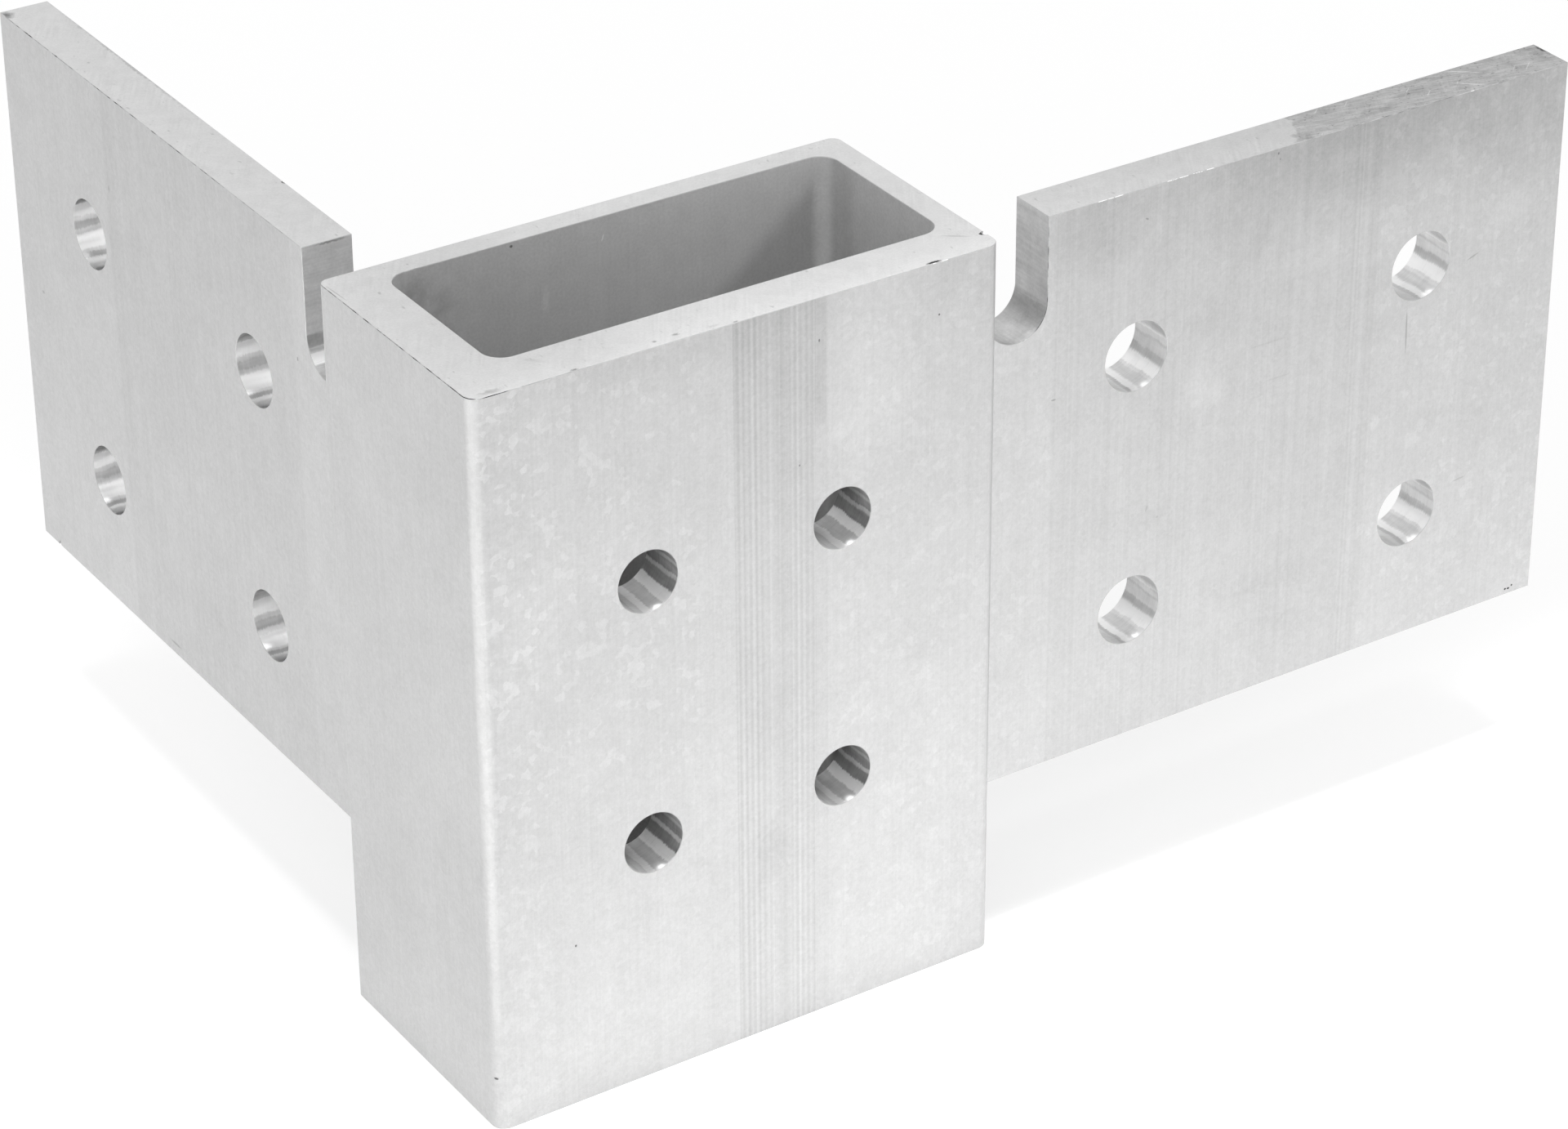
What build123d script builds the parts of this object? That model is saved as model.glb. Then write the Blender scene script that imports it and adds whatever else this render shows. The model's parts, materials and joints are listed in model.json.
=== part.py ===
from build123d import *
import os

# Corner bracket for a post and two beams that meet at a right angle.
# It is one piece: a length of extruded section, cut to leave a rectangular tube and two thick wings,
# with a slot milled beside the tube at the top of each wing and bolt holes drilled in all three.
# Millimetres, +Z up. The origin is the middle of the post socket, at the tube's lower end.
# One wing runs along +X, flush to the front of the tube, and the other along +Y, flush to its left side.

# Tube that the post slides into
tube_width = 160.0
tube_depth = 79.0
tube_height = 221.0
front_wall = 15.5
left_wall = 15.5
back_wall = 7.5
right_wall = 8.0
front_corner_radius = 4.0
back_corner_radius = 3.0
socket_corner_radius = 6.0

# Wings, measured from the tube's faces
wing_height = 171.0
wing_thickness = 15.0
wing_setback = 6.0
right_wing_length = 200.0
left_wing_length = 202.0
wing_root_radius = 0.6

# Slot between the tube and the upper part of each wing, with a full round bottom
slot_width = 19.5
slot_depth = 35.0

# Bolt holes through the tube's front wall
tube_hole_diameter = 18.0
tube_hole_spacing_across = 60.0
tube_hole_spacing_up = 80.0
tube_hole_drop = 67.0

# Bolt holes through each wing
wing_hole_diameter = 21.0
wing_hole_spacing_along = 100.0
wing_hole_spacing_up = 80.0
wing_hole_end_distance = 50.0
wing_hole_drop = 50.5

# Length by which a cutter runs past the metal on each side
cutter_overrun = 5.0

# Places worked out from the sizes
socket_width = tube_width - left_wall - right_wall
socket_depth = tube_depth - front_wall - back_wall
tube_left = -socket_width / 2 - left_wall
tube_right = tube_left + tube_width
tube_front = -socket_depth / 2 - front_wall
tube_back = tube_front + tube_depth
tube_centre_x = (tube_left + tube_right) / 2
wing_bottom = tube_height - wing_height
right_wing_end = tube_right + right_wing_length
left_wing_end = tube_back + left_wing_length
right_wing_front = tube_front + wing_setback
right_wing_middle = right_wing_front + wing_thickness / 2
left_wing_outside = tube_left + wing_setback
left_wing_middle = left_wing_outside + wing_thickness / 2
slot_radius = slot_width / 2
right_slot_centre = tube_right + slot_radius
left_slot_centre = tube_back + slot_radius


def box_between(low, high):
    """A box from its lowest corner to its highest corner."""
    size = [b - a for a, b in zip(low, high)]
    middle = [(a + b) / 2 for a, b in zip(low, high)]
    return Pos(*middle) * Box(*size)


def vertical_edges_at(solid, places, tolerance=0.01):
    """The vertical edges of a solid that stand at any of the given places, each an x and a y."""
    found = []
    for edge in solid.edges().filter_by(Axis.Z):
        centre = edge.center()
        if any(abs(centre.X - x) < tolerance and abs(centre.Y - y) < tolerance for x, y in places):
            found.append(edge)
    return found


def tube():
    """The rectangular tube with its rounded outer corners, before the socket is opened."""
    body = box_between((tube_left, tube_front, 0), (tube_right, tube_back, tube_height))
    front_corners = [(tube_left, tube_front), (tube_right, tube_front)]
    back_corners = [(tube_left, tube_back), (tube_right, tube_back)]
    body = fillet(vertical_edges_at(body, front_corners), front_corner_radius)
    return fillet(vertical_edges_at(body, back_corners), back_corner_radius)


def socket():
    """The hollow that the post fills, open at both ends of the tube."""
    hollow = Box(socket_width, socket_depth, tube_height + 2 * cutter_overrun)
    hollow = fillet(hollow.edges().filter_by(Axis.Z), socket_corner_radius)
    return Pos(0, 0, tube_height / 2) * hollow


def wings():
    """Both wings over their full height, each grown out of the tube's wall behind it."""
    right = box_between(
        (tube_right - right_wall, right_wing_front, wing_bottom),
        (right_wing_end, right_wing_front + wing_thickness, tube_height),
    )
    left = box_between(
        (left_wing_outside, tube_back - back_wall, wing_bottom),
        (left_wing_outside + wing_thickness, left_wing_end, tube_height),
    )
    return right + left


def root_edges(body):
    """The four inner corners where a wing's faces meet the tube."""
    return vertical_edges_at(
        body,
        [
            (tube_right, right_wing_front),
            (tube_right, right_wing_front + wing_thickness),
            (left_wing_outside, tube_back),
            (left_wing_outside + wing_thickness, tube_back),
        ],
    )


def slot_cutter(along):
    """An upright slot cutter, centred on its own middle plane, running along X or Y through a wing.

    Its round bottom is a cylinder, and its sides reach up past the wing's top edge.
    """
    through = wing_thickness + 2 * cutter_overrun
    floor_centre = tube_height - slot_depth + slot_radius
    top = tube_height + cutter_overrun
    turn = Rot(90, 0, 0) if along == "Y" else Rot(0, 90, 0)
    round_bottom = Pos(0, 0, floor_centre) * turn * Cylinder(slot_radius, through)
    half_across = slot_radius if along == "Y" else through / 2
    half_through = through / 2 if along == "Y" else slot_radius
    sides = box_between((-half_across, -half_through, floor_centre), (half_across, half_through, top))
    return round_bottom + sides


def slots():
    """The two milled slots, one beside each face of the tube that carries a wing."""
    right = Pos(right_slot_centre, right_wing_middle, 0) * slot_cutter("Y")
    left = Pos(left_wing_middle, left_slot_centre, 0) * slot_cutter("X")
    return right + left


def hole_rows(first, spacing):
    """The two places of a pair of holes."""
    return (first, first + spacing)


def tube_holes():
    """Four drills that pass through the tube's front wall and stop in the socket."""
    length = front_wall + 2 * cutter_overrun
    top_row = tube_height - tube_hole_drop
    drills = []
    for x in hole_rows(tube_centre_x - tube_hole_spacing_across / 2, tube_hole_spacing_across):
        for z in hole_rows(top_row - tube_hole_spacing_up, tube_hole_spacing_up):
            drill = Rot(90, 0, 0) * Cylinder(tube_hole_diameter / 2, length)
            drills.append(Pos(x, tube_front + front_wall / 2, z) * drill)
    return drills


def wing_holes():
    """Four drills for each wing, set out from its free end and its top edge."""
    length = wing_thickness + 2 * cutter_overrun
    radius = wing_hole_diameter / 2
    top_row = tube_height - wing_hole_drop
    end_of_right_row = right_wing_end - wing_hole_end_distance - wing_hole_spacing_along
    end_of_left_row = left_wing_end - wing_hole_end_distance - wing_hole_spacing_along
    drills = []
    for z in hole_rows(top_row - wing_hole_spacing_up, wing_hole_spacing_up):
        for x in hole_rows(end_of_right_row, wing_hole_spacing_along):
            drills.append(Pos(x, right_wing_middle, z) * Rot(90, 0, 0) * Cylinder(radius, length))
        for y in hole_rows(end_of_left_row, wing_hole_spacing_along):
            drills.append(Pos(left_wing_middle, y, z) * Rot(0, 90, 0) * Cylinder(radius, length))
    return drills


def corner_bracket():
    """The whole bracket: the section joined, its roots rounded, then opened, slotted and drilled."""
    body = tube() + wings()
    body = fillet(root_edges(body), wing_root_radius)
    body -= socket()
    body -= slots()
    for drill in tube_holes() + wing_holes():
        body -= drill
    return body


os.makedirs("parts", exist_ok=True)
bracket = corner_bracket()
export_step(bracket, "parts/corner_bracket.step")
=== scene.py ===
"""Looks of the corner bracket: an extruded aluminium post tube with two drilled wings.

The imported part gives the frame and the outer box. The bracket's visible body is modelled here at the
same sizes, with finer bores and fillets, eased edges, saw marks, die lines and the wear of the real one.
Everything is in metres, +Z up, with the origin in the middle of the post socket at its lower end. Only
the finishes and the nicks are measured in millimetres.
"""

import json
import logging
from collections.abc import Iterator
from contextlib import contextmanager
from dataclasses import dataclass
from enum import Enum
from math import pi, radians

import bmesh
import bpy
from bpy.types import Material, Node, NodeSocket, NodeTree
from bpy.types import Object as Piece
from mathutils import Matrix, Vector

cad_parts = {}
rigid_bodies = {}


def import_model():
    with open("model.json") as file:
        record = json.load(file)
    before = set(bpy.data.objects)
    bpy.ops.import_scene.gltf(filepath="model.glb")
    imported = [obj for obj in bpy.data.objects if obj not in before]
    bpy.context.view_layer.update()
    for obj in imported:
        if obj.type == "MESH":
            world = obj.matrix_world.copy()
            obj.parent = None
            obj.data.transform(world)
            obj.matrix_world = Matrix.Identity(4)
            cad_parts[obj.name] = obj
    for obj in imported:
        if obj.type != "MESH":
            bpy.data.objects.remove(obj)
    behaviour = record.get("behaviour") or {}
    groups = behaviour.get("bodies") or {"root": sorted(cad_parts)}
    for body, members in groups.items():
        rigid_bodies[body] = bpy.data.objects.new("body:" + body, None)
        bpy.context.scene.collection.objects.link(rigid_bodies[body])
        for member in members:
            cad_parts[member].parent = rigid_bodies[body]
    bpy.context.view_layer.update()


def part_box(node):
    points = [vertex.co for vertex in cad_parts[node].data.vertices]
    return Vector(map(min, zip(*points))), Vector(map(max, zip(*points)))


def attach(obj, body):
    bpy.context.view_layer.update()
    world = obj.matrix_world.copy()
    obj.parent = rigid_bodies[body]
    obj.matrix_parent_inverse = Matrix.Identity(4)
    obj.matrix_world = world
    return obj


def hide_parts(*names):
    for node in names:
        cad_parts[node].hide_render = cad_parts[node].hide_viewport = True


LOG = logging.getLogger("corner_bracket")
MM = 0.001
NODE = "corner_bracket"
BODY = "root"
# Share of the way from a dark to a light metal that shows as one level of 255
LEVEL = 0.0091
# Blender's names for the nodes that the finishes use most
MATH = "ShaderNodeMath"
VECTOR = "ShaderNodeVectorMath"
RANGE = "ShaderNodeMapRange"
Pair = tuple[float, float]
Triple = tuple[float, float, float]
Feeds = dict[str | int, object] | list[object] | tuple[object, ...]


def linear(hex_colour: str) -> tuple[float, float, float, float]:
    """Turns an sRGB hex colour into linear RGBA.

    Args:
        hex_colour: Six hex digits after a hash sign.

    Returns:
        The linear red, green and blue, and an alpha of 1.
    """
    parts = [int(hex_colour[i : i + 2], 16) / 255 for i in (1, 3, 5)]
    red, green, blue = [c / 12.92 if c <= 0.04045 else ((c + 0.055) / 1.055) ** 2.4 for c in parts]
    return (red, green, blue, 1.0)


def add_node(tree: NodeTree, kind: str, feeds: Feeds = (), **settings: object) -> Node:
    """Adds one node, with its settings, and fills or links its inputs.

    Args:
        tree: The node tree that gets the node.
        kind: Blender's name for the kind of node.
        feeds: Numbers, colours, and sockets or nodes to link from, in the inputs' order or by name or number.
        **settings: Values set on the node itself.

    Returns:
        The new node.
    """
    node = tree.nodes.new(kind)
    for name, value in settings.items():
        setattr(node, name, value)
    for entry, source in feeds.items() if isinstance(feeds, dict) else enumerate(feeds):
        if isinstance(source, Node):
            source = next(socket for socket in source.outputs if socket.enabled)
        if isinstance(source, NodeSocket):
            tree.links.new(source, node.inputs[entry])
        else:
            node.inputs[entry].default_value = source
    return node


def select_only(piece: Piece) -> None:
    """Leaves one piece selected and active.

    Args:
        piece: The piece.
    """
    bpy.ops.object.select_all(action="DESELECT")
    piece.select_set(True)
    bpy.context.view_layer.objects.active = piece


@contextmanager
def editing(piece: Piece) -> Iterator[bmesh.types.BMesh]:
    """Opens a piece in edit mode with nothing selected, and closes it again.

    Args:
        piece: The piece to shape.

    Yields:
        The edit mesh, on which faces and edges are selected in code.
    """
    select_only(piece)
    bpy.ops.object.mode_set(mode="EDIT")
    bpy.ops.mesh.select_mode(type="EDGE")
    bpy.ops.mesh.select_all(action="DESELECT")
    yield bmesh.from_edit_mesh(piece.data)
    bpy.ops.object.mode_set(mode="OBJECT")


def apply_place(piece: Piece) -> None:
    """Moves a piece's place, turn and scale into its mesh."""
    select_only(piece)
    bpy.ops.object.transform_apply(location=True, rotation=True, scale=True)


def apply_modifier(piece: Piece, kind: str, **settings: object) -> None:
    """Adds one modifier to a piece and applies it.

    Args:
        piece: The piece to change.
        kind: Blender's name for the modifier.
        **settings: Values set on the modifier.
    """
    select_only(piece)
    modifier = piece.modifiers.new(kind.lower(), kind)
    for name, value in settings.items():
        setattr(modifier, name, value)
    bpy.ops.object.modifier_apply(modifier=modifier.name)


def box_between(name: str, low: Vector, high: Vector) -> Piece:
    """Adds a box from its lowest to its highest corner.

    Args:
        name: The new piece's name.
        low: The lowest corner.
        high: The highest corner.

    Returns:
        The box, with its place in its mesh.
    """
    bpy.ops.mesh.primitive_cube_add(size=1.0, location=(low + high) / 2, scale=high - low)
    piece = bpy.context.active_object
    piece.name = name
    apply_place(piece)
    return piece


def round_upright_edges(piece: Piece, places: list[Pair], radius: float, steps: int) -> None:
    """Rounds the upright edges that stand at the given places.

    Args:
        piece: The piece to shape.
        places: An x and a y for each edge.
        radius: The fillet's radius.
        steps: How many faces make the quarter turn.
    """
    near = 0.01 * MM
    with editing(piece) as mesh:
        for edge in mesh.edges:
            a, b = (vertex.co for vertex in edge.verts)
            upright = abs(a.x - b.x) < near and abs(a.y - b.y) < near
            if upright and any(abs(a.x - x) < near and abs(a.y - y) < near for x, y in places):
                edge.select_set(True)
        bmesh.update_edit_mesh(piece.data)
        bpy.ops.mesh.bevel(offset=radius, segments=steps, affect="EDGES")


def cut(piece: Piece, cutter: Piece, operation: str = "DIFFERENCE") -> None:
    """Cuts one piece by another, or joins them, and removes the second.

    Args:
        piece: The piece that stays.
        cutter: The piece that cuts. Its faces keep their own finish.
        operation: DIFFERENCE or UNION.
    """
    settings = {"solver": "EXACT", "material_mode": "TRANSFER"}
    apply_modifier(piece, "BOOLEAN", object=cutter, operation=operation, **settings)
    bpy.data.objects.remove(cutter)


def rod(name: str, place: Vector, turn: Triple, radius: float, length: float, sides: int = 128) -> Piece:
    """Adds a cylinder, which stands up before it is turned.

    Args:
        name: The new piece's name.
        place: Its middle.
        turn: Its turn.
        radius: Its radius.
        length: Its length.
        sides: How many sides it has.

    Returns:
        The cylinder, with its place in its mesh.
    """
    shape = {"vertices": sides, "radius": radius, "depth": length}
    bpy.ops.mesh.primitive_cylinder_add(location=place, rotation=turn, **shape)
    piece = bpy.context.active_object
    piece.name = name
    apply_place(piece)
    return piece


class Run(Enum):
    """A level direction, in which a wing reaches out from the tube or a hole goes through the metal."""

    ALONG_X = "x"
    ALONG_Y = "y"

    @property
    def turn(self) -> Triple:
        """The turn that lays an upright cylinder in this direction."""
        return (0.0, radians(90), 0.0) if self is Run.ALONG_X else (radians(90), 0.0, 0.0)

    def stretch(self, along: float, across: float = 1.0) -> Triple:
        """Gives one number along this direction and another along the other two."""
        return (along, across, across) if self is Run.ALONG_X else (across, along, across)


# Painted reflections in the bolt holes, as light and dark bands: the angles they lie between, in degrees, and
# their levels
TUBE_PAINTED_REFLECTIONS = (
    (-118, -102, 15), (-102, -86, 38), (-62, -42, 38), (-42, -22, -38), (-22, -14, -6), (-14, 4, -48),
    (4, 12, -28), (12, 50, -46),
)
RIGHT_WING_PAINTED_REFLECTIONS = (
    (-102, -94, -24), (-94, -82, 22), (-80, -62, -12), (-56, -36, 22), (-34, -22, -22), (-6, -1, -15),
    (10, 14, 20), (18, 50, -14),
)
LEFT_WING_PAINTED_REFLECTIONS = (
    (-110, -84, 22), (-83, -74, -28), (-68, -42, 22), (-34, -22, -30), (-22, -14, -8), (-14, 14, 20),
    (14, 30, -14), (30, 50, 20),
)
# Painted shade and highlight bands across the slots' round bottoms: the heights they lie between, in mm, and
# their levels
RIGHT_SLOT_PAINTED_SHADE = ((188.6, 194.2, -32), (180.0, 188.6, -25), (214.0, 240.0, 5))
LEFT_SLOT_PAINTED_SHADE = ((191.6, 195.4, -36), (188.0, 190.4, 50), (180.0, 188.0, -22))


@dataclass(frozen=True)
class Mark:
    """One scratch, pit, smudge, pale rub or patch of painted shade on a flat face: an ellipse, in millimetres
    and degrees.

    The levels say how much lighter or, below zero, darker it is. The core is the share of it that has them
    in full, and ragged is how far its outline wanders.
    """

    middle: Triple
    half: Triple
    levels: float
    turn: Triple = (0.0, 0.0, 0.0)
    core: float = 0.5
    ragged: float = 0.0


class Coat:
    """One metal in the making: a grey on which layers lie, each so many levels of 255 lighter or darker.

    All that is measured on it is in millimetres.
    """

    def __init__(self, name: str, roughness: float, bright: float) -> None:
        """Starts a bare metal.

        Args:
            name: The material's name.
            roughness: How matt it is.
            bright: Where it starts between its dark and its light colour, from 0 to 1.
        """
        self.material = bpy.data.materials.new(name)
        self.material.use_nodes = True
        self.tree = self.material.node_tree
        self.shader = self.tree.nodes["Principled BSDF"]
        self.shader.inputs["Metallic"].default_value = 1.0
        self.shader.inputs["Roughness"].default_value = roughness
        metres = self.node("ShaderNodeTexCoord").outputs["Object"]
        self.place = self.node(VECTOR, {0: metres, "Scale": 1 / MM}, operation="SCALE").outputs["Vector"]
        parts = self.node("ShaderNodeSeparateXYZ", [self.place])
        self.x, self.y, self.z = (parts.outputs[letter] for letter in "XYZ")
        self.total: float | Node = bright

    def node(self, kind: str, feeds: Feeds = (), **settings: object) -> Node:
        """Adds one node to the metal, as add_node does."""
        return add_node(self.tree, kind, feeds, **settings)

    def pattern(self, size: float, stretch: Triple = (1, 1, 1), turn: float = 0.0, **more: float) -> Node:
        """Adds a cloudy pattern.

        Args:
            size: How wide its features are.
            stretch: How much faster it changes along x, y and z. Near zero it runs along in lines.
            turn: How far the stretch is turned about z, in degrees.
            **more: Detail, Roughness or Distortion of the noise.

        Returns:
            The noise, around a middle of 0.5.
        """
        turned = (0.0, 0.0, radians(turn))
        feeds = {"Vector": self.place, "Rotation": turned, "Scale": tuple(1 / c for c in stretch)}
        drawn = self.node("ShaderNodeMapping", feeds, vector_type="TEXTURE")
        return self.node("ShaderNodeTexNoise", {"Vector": drawn, "Scale": 1 / size, **more})

    def zone(self, along: object, low: float, high: float, soft: float) -> Node:
        """Marks off a stretch of the metal.

        Args:
            along: The coordinate that it is measured on.
            low: Where it starts.
            high: Where it ends.
            soft: How wide each of its edges is.

        Returns:
            One inside the stretch and zero outside it.
        """
        away = self.node(MATH, [along, (low + high) / 2], operation="SUBTRACT")
        apart = self.node(MATH, [away], operation="ABSOLUTE")
        half = (high - low) / 2
        return self.node(RANGE, [apart, half + soft / 2, half - soft / 2], interpolation_type="SMOOTHSTEP")

    def overlap(self, *zones: object) -> Node:
        """Finds where zones and patterns lie over each other.

        Args:
            *zones: The zones and patterns.

        Returns:
            Their product.
        """
        whole = zones[0]
        for zone in zones[1:]:
            whole = self.node(MATH, [whole, zone], operation="MULTIPLY")
        return whole

    def lay(self, source: object, levels: float, within: object = None, middle: float = 0.5) -> None:
        """Lays one layer over the metal.

        Args:
            source: The pattern.
            levels: How many levels of 255 a full step of the pattern is.
            within: The zone that it keeps to, if any.
            middle: The pattern's value at which it leaves the metal as it is.
        """
        step = self.node(MATH, [source, middle], operation="SUBTRACT")
        if within is not None:
            step = self.overlap(step, within)
        self.total = self.node(MATH, [step, levels * LEVEL, self.total], operation="MULTIPLY_ADD")

    def tint(self, zone: object, levels: float, within: object = None) -> None:
        """Lightens a zone by so many levels or, below zero, darkens it."""
        self.lay(zone, levels, within, middle=0.0)

    def mark(self, mark: Mark) -> None:
        """Lays one scratch, pit, smudge, rub or patch of painted shade on the metal.

        Args:
            mark: The mark.
        """
        place = self.place
        if mark.ragged:
            cloud = self.pattern(mark.ragged, Detail=3.0).outputs["Color"]
            off = self.node(VECTOR, [cloud, (0.5, 0.5, 0.5)], operation="SUBTRACT")
            place = self.node(VECTOR, [off, (2 * mark.ragged,) * 3, place], operation="MULTIPLY_ADD")
        turned = tuple(radians(c) for c in mark.turn)
        feeds = {"Vector": place, "Location": mark.middle, "Rotation": turned, "Scale": mark.half}
        own = self.node("ShaderNodeMapping", feeds, vector_type="TEXTURE")
        away = self.node(VECTOR, [own], operation="LENGTH").outputs["Value"]
        self.tint(self.node(RANGE, [away, 1.0, mark.core], interpolation_type="SMOOTHSTEP"), mark.levels)

    def relief(self, source: object, depth: float) -> None:
        """Presses a pattern into the metal, so many millimetres deep."""
        bump = self.node("ShaderNodeBump", {"Height": source, "Distance": depth * MM, "Strength": 1.0})
        self.tree.links.new(bump.outputs["Normal"], self.shader.inputs["Normal"])

    def finish(self, dark_hex: str, light_hex: str) -> Material:
        """Turns the layers into a colour between a dark and a light one.

        Args:
            dark_hex: The colour of the darkest layers.
            light_hex: The colour of the lightest.

        Returns:
            The finished material.
        """
        feeds = {0: self.total, 6: linear(dark_hex), 7: linear(light_hex)}
        limits = {"clamp_factor": False, "clamp_result": True}
        colour = self.node("ShaderNodeMix", feeds, data_type="RGBA", **limits)
        self.tree.links.new(colour.outputs[2], self.shader.inputs["Base Color"])
        return self.material


@dataclass(frozen=True, kw_only=True)
class Finish:
    """What one process leaves on the metal. Its sizes are in millimetres, and bright is where it starts."""

    name: str
    dark_hex: str
    light_hex: str
    roughness: float
    bright: float = 0.5
    marks: tuple[Mark, ...] = ()

    def layers(self, coat: Coat) -> None:
        """Lays the finish's own layers on a metal."""

    def material(self) -> Material:
        """Builds the material.

        Returns:
            The finished material.
        """
        coat = Coat(self.name, self.roughness, self.bright)
        self.layers(coat)
        for mark in self.marks:
            coat.mark(mark)
        return coat.finish(self.dark_hex, self.light_hex)


# Marks in the slots: a bright rim and a crescent on the right one's floor, blotches on the left one's wall
RIGHT_SLOT_MARKS = (
    Mark((91.5, -36.5, 187.0), (3.5, 2.5, 2.5), 20, core=0.1, ragged=1.5),
    Mark((84.6, -36.6, 187.0), (3.5, 0.5, 1.0), -46, core=0.3, ragged=0.5),
    Mark((95.0, -33.0, 193.0), (3.0, 3.0, 1.8), -12, core=0.1, ragged=1.5),
    Mark((95.0, -26.0, 198.0), (3.0, 5.0, 4.0), 9, core=0.1, ragged=3),
    Mark((95.0, -35.0, 202.0), (3.0, 3.0, 9.0), -7, core=0.1, ragged=3),
    Mark((95.0, -29.0, 210.0), (3.0, 2.0, 4.0), -8, core=0.1, ragged=3),
)
LEFT_SLOT_MARKS = (
    Mark((-69.0, 55.0, 220.6), (6.0, 3.0, 0.6), -40, core=0.3, ragged=0.8),
    Mark((-66.0, 55.0, 208.0), (4.0, 3.0, 5.0), 5, core=0.1, ragged=3),
    Mark((-70.0, 55.0, 198.0), (6.0, 3.0, 7.0), 14, core=0.1, ragged=3),
    Mark((-74.0, 47.0, 186.2), (2.0, 1.2, 1.0), 40, core=0.2, ragged=0.8),
)


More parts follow.
